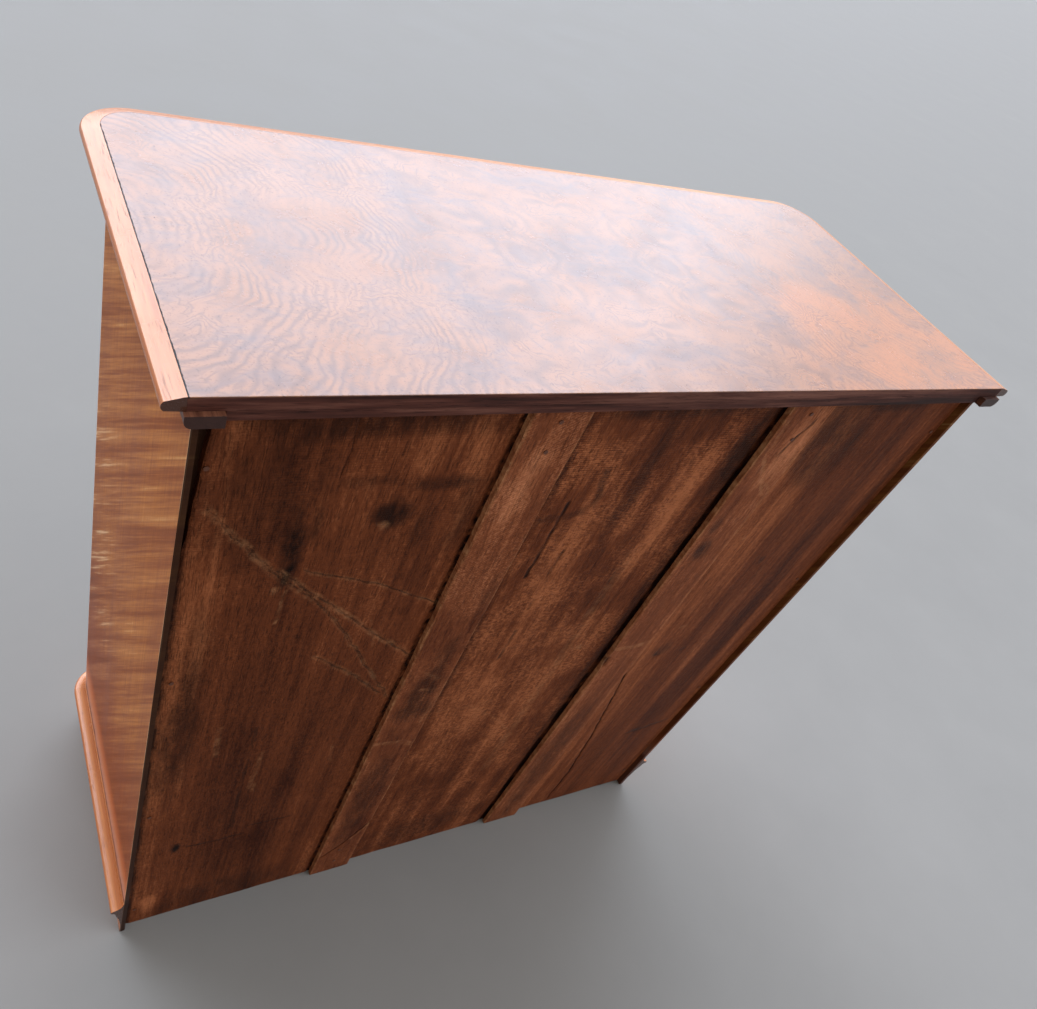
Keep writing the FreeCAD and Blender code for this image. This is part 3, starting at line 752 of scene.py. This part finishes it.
centre = board_for("back_panel_centre", 200, saw=1.0)
centre.edge(-139.5, 13, 2.6, 0.97)
centre.edge(106.5, -6, 1.0, 0.85)
centre.line([(71, 799), (71, 742), (72, 686)], 3.2, 0.9, dark=0.8, by=0.4)
centre.line([(96, 776), (72, 777), (50, 783)], 7.0, 0.2, dark=0.45)
centre.line([(41, 724), (42, 686)], 3.0, 0.7, dark=0.7, by=0.4)
centre.line([(41, 642), (42, 624)], 3.0, 0.7, dark=0.65, by=0.4)
centre.line([(41, 586), (41, 530)], 3.0, 0.7, dark=0.75, by=0.4)
centre.line([(46, 840), (38, 795)], 6.0, 0.2, dark=0.5)
centre.line([(-60, 705), (-61, 480), (-59, 217)], 9.0, 0.15, pale=0.22)
centre.line([(-67, 705), (-67, 330)], 2.0, 0.3, pale=0.3)
centre.spot(-3, 830, 16, 120, dark=0.4)
centre.spot(-20, 760, 12, 100, lighter=0.16)
centre.spot(30, 720, 50, 170, lighter=0.16)
centre.spot(60, 880, 60, 60, lighter=0.08)
centre.spot(-70, 780, 36, 150, lighter=0.2)
centre.spot(-79, 521, 14, 5, pale=0.5)
centre.line([(90, 428), (48, 424), (10, 427)], 3.0, 0.2, pale=0.22)
centre.line([(40, 424), (-10, 380), (-60, 324)], 2.2, 0.2, pale=0.25)
centre.spot(-122, 850, 26, 90, dark=0.65)
centre.spot(104, 850, 12, 80, dark=0.5)
centre.spot(100, 500, 10, 190, dark=0.4)
# painted shadow of the right upright along this board's edge
centre.spot(-128, 450, 16, 460, dark=0.5)
centre.spot(60, 380, 60, 170, lighter=0.08)
centre.spot(-10, 480, 120, 240, lighter=0.12)
centre.spot(-10, 60, 130, 60, dark=0.3)
centre.line([(0, 90), (-8, 60), (-20, 30)], 3.0, 0.2, dark=0.6)
# painted shade under the top rail
centre.spot(-10, 912, 120, 14, dark=0.5)

right = board_for("back_panel_right", 300, short=0.004, wear=3.5, saw=0.25)
right.line([(-213, 424), (-226, 361), (-238, 299), (-254, 205), (-266, 111), (-267, 17)], 2.0, 2.2, dark=1.0)
right.spot(-247, 461, 10, 8, dark=0.8, depth=0.4)
right.spot(-251, 470, 26, 24, dark=0.4)
right.spot(-297, 461, 8, 6, dark=0.7, depth=0.3)
right.spot(-235, 708, 4, 5, pale=0.7)
right.spot(-257, 525, 14, 4, pale=0.4)
right.spot(-304, 655, 7, 14, dark=0.6)
right.line([(-335, 212), (-370, 216), (-416, 228)], 4.0, 0.3, dark=0.7)
right.spot(-350, 216, 18, 7, dark=0.5)
right.spot(-250, 860, 70, 90, dark=0.5)
right.spot(-300, 850, 120, 110, lighter=-0.05)
# painted shade under the top rail
right.spot(-300, 914, 110, 16, dark=0.5)
right.spot(-415, 780, 14, 110, dark=0.35)
right.spot(-330, 480, 14, 240, lighter=0.12)
right.spot(-400, 400, 14, 240, lighter=0.06)
right.line([(-322, 640), (-325, 430)], 5.0, 0.1, pale=0.12)

upright_left = board_for("back_muntin_left", 400, round_over=2.0, wear=1.6, step=3.4, saw=0.8, rubbed=1.0)
upright_left.low.y = PANEL_REAR
upright_left.spot(136, 490, 32, 92, dark=0.6)
upright_left.spot(128, 570, 16, 50, dark=0.4)
upright_left.spot(116, 660, 10, 60, dark=0.3)
upright_left.line([(165, 391), (130, 384), (104, 367)], 5.5, 0.3, pale=0.5)
upright_left.line([(150, 545), (120, 520)], 3.0, 0.3, pale=0.3)
upright_left.line([(140, 505), (108, 498)], 3.0, 0.3, pale=0.3)
upright_left.line([(99, 167), (125, 118), (140, 90), (165, 61)], 2.0, 1.8, dark=1.0)
upright_left.line([(104, 150), (128, 104)], 2.0, 0.1, pale=0.6)
upright_left.line([(112, 500), (114, 420)], 2.0, 0.3, pale=0.35)
upright_left.spot(150, 830, 30, 90, lighter=0.16)
upright_left.spot(137, 240, 34, 190, dark=0.42)
upright_left.spot(137, 600, 34, 110, lighter=-0.05)

upright_right = board_for("back_muntin_right", 500, round_over=2.0, wear=1.6, step=3.4, saw=0.4, rubbed=1.0)
upright_right.low.y = PANEL_REAR
upright_right.line([(-146, 905), (-150, 850), (-191, 792)], 3.0, 0.3, pale=0.45)
upright_right.line([(-154, 846), (-172, 815), (-196, 800)], 3.0, 0.3, pale=0.4)
upright_right.line([(-160, 830), (-164, 800)], 2.0, 0.3, pale=0.3)
upright_right.line([(-169, 855), (-178, 880), (-186, 903)], 2.4, 0.5, dark=0.75)
upright_right.spot(-163, 705, 18, 26, dark=0.6)
upright_right.spot(-155, 745, 10, 20, dark=0.4)
upright_right.line([(-146, 509), (-175, 507), (-201, 510)], 6.0, 0.25, pale=0.55)
upright_right.spot(-142, 480, 5, 14, dark=0.7, depth=2.4)
upright_right.line([(-145, 420), (-144, 330)], 3.0, 0.3, pale=0.4)
upright_right.line([(-199, 900), (-198, 600)], 2.0, 0.3, pale=0.3)
upright_right.spot(-170, 860, 30, 80, lighter=0.14)
upright_right.spot(-170, 200, 34, 300, dark=0.4)
upright_right.spot(-170, 600, 34, 110, lighter=-0.04)

for board, node, wood, slot in ((left, "back_panel_left", back_wood, "stained_back"),
                                (centre, "back_panel_centre", back_wood, "stained_back"),
                                (right, "back_panel_right", back_wood, "stained_back"),
                                (upright_left, "back_muntin_left", upright_wood, "stained_upright"),
                                (upright_right, "back_muntin_right", upright_wood, "stained_upright")):
    tongue = None
    if "muntin" in node:
        tongue = ((board.low.x + TONGUE, REBATE_Y), (board.high.x - TONGUE, PANEL_REAR - CLEAR))
    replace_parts(board.build(wood, slot, tongue), node)


# ---------------------------------------------------------------- floor, light, camera
def floor_material():
    s = Shader("studio_floor")
    mottle = s.noise(s.place, 3, 4, 0.6)
    colour = s.ramp(mottle, (0.3, srgb(132, 130, 126)), (0.7, srgb(139, 137, 133)))
    return s.done(colour, s.span(mottle, 0.3, 0.7, 0.75, 0.85), s.bump(s.noise(s.place, 300, 2), 0.05 * MM))


FLOOR_RADIUS = 40
FLOOR_DROP = 0.2 * MM       # keeps the floor off the underside of the base

ground = bpy.data.meshes.new("studio_floor")
shape = bmesh.new()
bmesh.ops.create_circle(shape, cap_ends=True, segments=128, radius=FLOOR_RADIUS)
shape.to_mesh(ground)
shape.free()
floor = bpy.data.objects.new("studio_floor", ground)
floor.location.z = cad_box[0].z - FLOOR_DROP
ground.materials.append(floor_material())
scene.collection.objects.link(floor)


def studio_light():
    """Even pale surroundings with three soft windows, placed by direction only."""
    world = bpy.data.worlds.new("studio")
    world.use_nodes = True
    s = Shader.__new__(Shader)      # the same calls, on the world's nodes
    s.tree = world.node_tree
    s.tree.nodes.clear()
    towards = s.add("ShaderNodeTexCoord", "Generated")
    x, y, z = s.split(towards)
    in_degrees = 180 / math.pi
    turn = s.math("ARCTAN2", s.math("MULTIPLY", y, -1.0), s.math("MULTIPLY", x, -1.0))
    azimuth = s.math("MULTIPLY", turn, in_degrees)
    elevation = s.math("MULTIPLY", s.math("ARCSINE", z), in_degrees)

    def window(left, right, bottom, top):
        """left and right are azimuths from -X towards -Y. Each pair is where the light fades, in degrees."""
        wide = s.math("MULTIPLY", s.span(azimuth, *left), s.span(azimuth, *right, 1, 0))
        high = s.math("MULTIPLY", s.span(elevation, *bottom), s.span(elevation, *top, 1, 0))
        return s.math("MULTIPLY", wide, high)

    # a wide bright window, a small one above its far end, and a weak one at the back
    key = s.product(window((-12, 12), (104, 150), (0, 12), (42, 60)), s.span(elevation, 12, 32, 2.3, 5.8),
                    s.span(azimuth, 30, 44, 0.32, 1.0))
    high = s.math("MULTIPLY", window((90, 104), (132, 150), (36, 46), (56, 68)), 4.5)
    rear = s.math("MULTIPLY", window((-75, -45), (-15, 10), (0, 25), (60, 85)), 1.8)
    total = s.math("ADD", s.math("ADD", key, high), rear)
    glow = s.add("ShaderNodeBackground", 0, {0: (0.84, 0.92, 1.08), 1: total})
    even = s.add("ShaderNodeBackground", 0, {0: (1.04, 0.98, 0.90), 1: 0.5})
    light = s.add("ShaderNodeAddShader", 0, {0: glow, 1: even})
    backdrop = s.add("ShaderNodeBackground", 0, {0: srgb(178, 178, 177), 1: 1.0})
    seen = s.add("ShaderNodeLightPath", "Is Camera Ray")
    shown = s.add("ShaderNodeMixShader", 0, {0: seen, 1: light, 2: backdrop})
    s.add("ShaderNodeOutputWorld", slice(0), {"Surface": shown})
    scene.world = world


studio_light()
scene.view_settings.view_transform = "Standard"

# fitted to the edges of the case
camera = bpy.data.cameras.new("photo_view")
camera.sensor_width, camera.lens = 36.0, 30.1585
camera.shift_x, camera.shift_y = 0.0550885, 0.0226877
camera.clip_end = 100
eye = bpy.data.objects.new("photo_view", camera)
eye.location = (0.56897168, 0.6180649, 1.30745486)
eye.rotation_euler = [math.radians(a) for a in (44.9978, -18.2910, 156.0081)]
scene.collection.objects.link(eye)
scene.camera = eye
